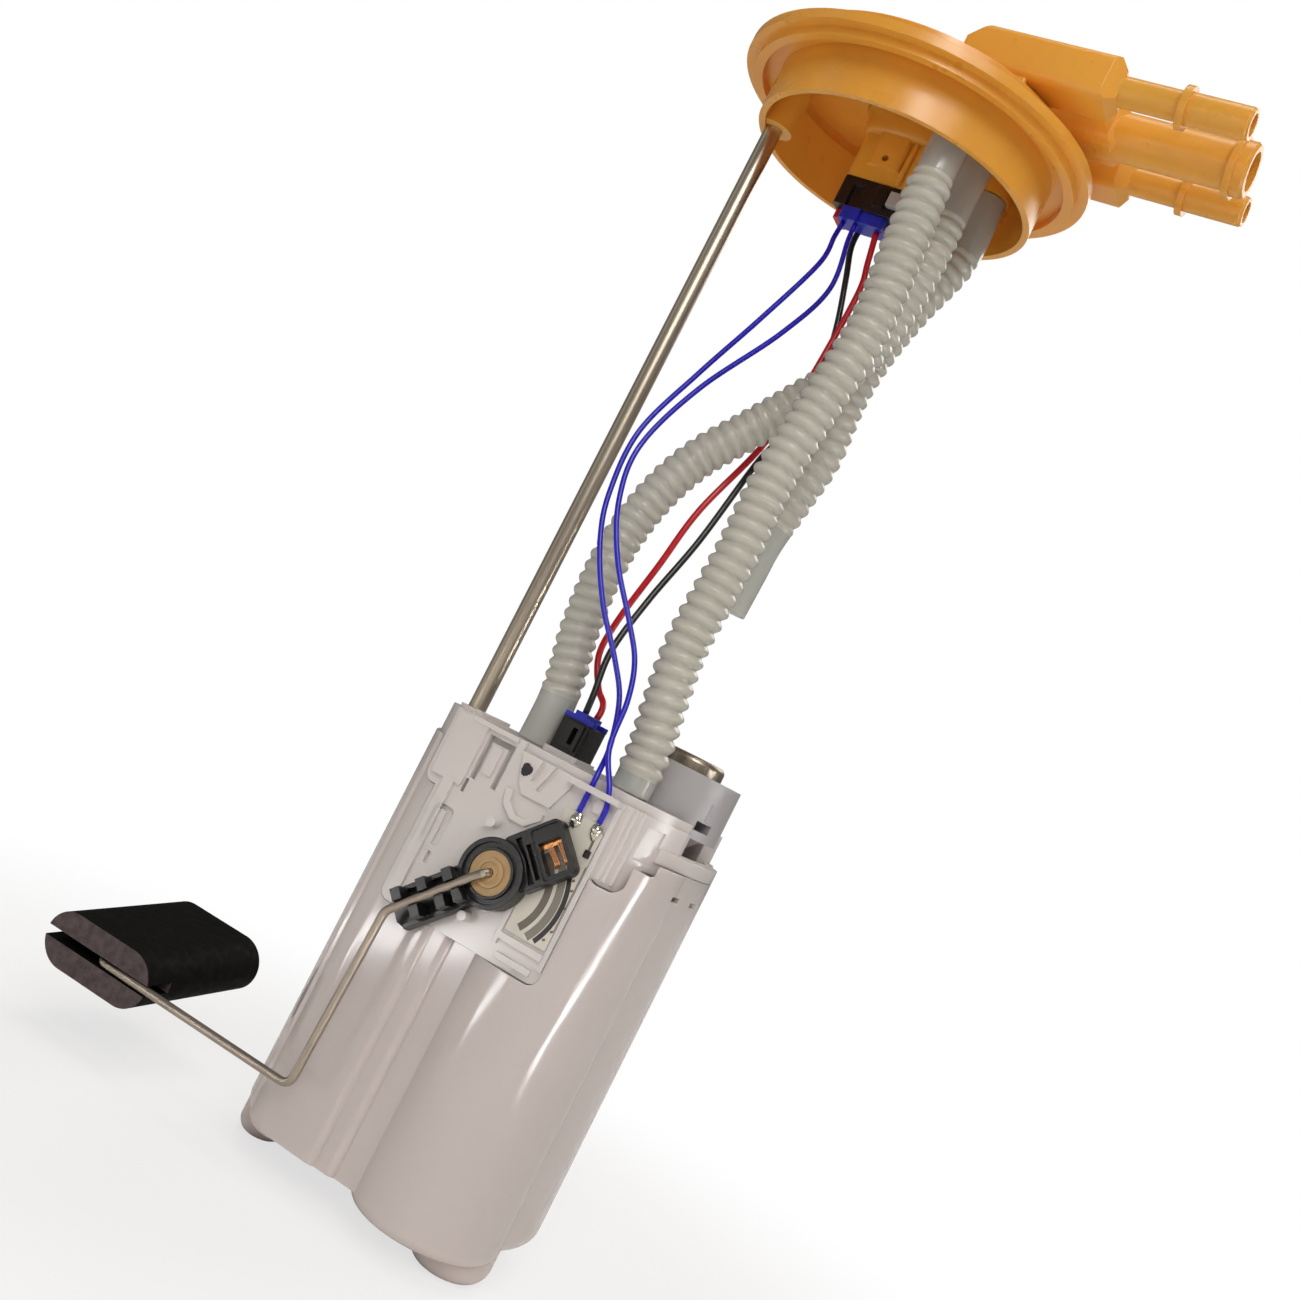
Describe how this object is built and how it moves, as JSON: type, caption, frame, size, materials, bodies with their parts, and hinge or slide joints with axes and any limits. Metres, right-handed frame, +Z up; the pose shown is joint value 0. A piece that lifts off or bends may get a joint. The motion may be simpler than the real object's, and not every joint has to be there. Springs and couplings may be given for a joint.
{
  "type": "electric fuel pump",
  "caption": "In-tank electric fuel pump module: ported flange on sprung guide rods over a reservoir with the pump, hoses, pressure regulator and a float-arm level sensor.",
  "frame": {"origin": "centre of the flange's seat face, on the axis of the neck that enters the tank", "axes": "+Z up along the neck's axis, out of the tank; +X the way the fuel spigots point; -Y the way the level sensor faces"},
  "size_m": [0.2389, 0.127, 0.4314],
  "materials": {
    "amber_plastic": "satin",
    "plated_metal": "satin",
    "rod_steel": "satin",
    "black_plastic": "satin",
    "blue_plastic": "satin",
    "red_plastic": "satin",
    "grey_plastic": "satin",
    "hose_plastic": "gloss",
    "milky_plastic": "satin",
    "white_plastic": "satin",
    "can_steel": "satin",
    "rubber": "matte",
    "card_ceramic": "satin",
    "solder": "gloss",
    "cast_light_metal": "cast",
    "magnet": "matte",
    "carbon": "matte",
    "copper_alloy": "satin",
    "tan_plastic": "satin",
    "float_foam": "matte",
    "armature_iron": "varnished",
    "brown_plastic": "matte"
  },
  "bodies": {
    "reservoir": {"hose_feed": "hose_plastic", "hose_return": "hose_plastic", "wire_blue_left": "blue_plastic", "wire_blue_right": "blue_plastic", "wire_red": "red_plastic", "wire_black": "black_plastic", "reservoir_bucket": "milky_plastic", "reservoir_cover": "white_plastic", "rod_spring_left": "rod_steel", "rod_spring_rear": "rod_steel", "regulator_cup": "grey_plastic", "pressure_regulator": "can_steel", "regulator_seal": "rubber", "pump_plug": "black_plastic", "pump_plug_lock": "blue_plastic", "pump_terminals": "plated_metal", "resistor_card": "card_ceramic", "solder_joints": "solder", "pump_shell": "can_steel", "pump_end_bell": "black_plastic", "pump_inlet_cover": "cast_light_metal", "pump_volute": "cast_light_metal", "pump_magnets": "magnet", "pump_brushes": "carbon", "check_valve_ball": "rod_steel", "pump_isolator": "rubber", "inlet_strainer": "white_plastic", "feed_pipe": "hose_plastic", "first_fill_valve": "rubber"},
    "flange": {"flange": "amber_plastic", "flange_terminals": "plated_metal", "guide_rod_left": "rod_steel", "guide_rod_rear": "rod_steel", "rod_retainers": "rod_steel", "harness_plug": "black_plastic", "harness_plug_lock": "blue_plastic", "harness_wire_seal": "red_plastic", "harness_latch_pin": "grey_plastic", "hose_vent": "hose_plastic"},
    "float_arm": {"contact_carrier": "black_plastic", "wiper_contacts": "copper_alloy", "hub_bushing": "tan_plastic", "float_arm": "rod_steel", "float": "float_foam"},
    "pump_rotor": {"pump_armature": "armature_iron", "pump_shaft": "rod_steel", "pump_commutator": "copper_alloy", "pump_impeller": "brown_plastic"}
  },
  "joints": [
    {"name": "flange_slide", "type": "slide", "parent": "reservoir", "child": "flange", "axis": [0, 0, -1], "range_m": [0, 0.06], "stiffness_N_per_m": 400, "springref_m": -0.06, "deforming": ["rod_spring_left", "rod_spring_rear", "hose_feed", "hose_return", "wire_blue_left", "wire_blue_right", "wire_red", "wire_black"]},
    {"name": "float_swing", "type": "hinge", "parent": "reservoir", "child": "float_arm", "pos_m": [0.0065, -0.045, -0.283], "axis": [0, 1, 0], "range_deg": [0, 70]},
    {"name": "rotor_spin", "type": "hinge", "parent": "reservoir", "child": "pump_rotor", "pos_m": [-0.001, 0.009, -0.33], "axis": [0, 0, 1], "continuous": true}
  ]
}
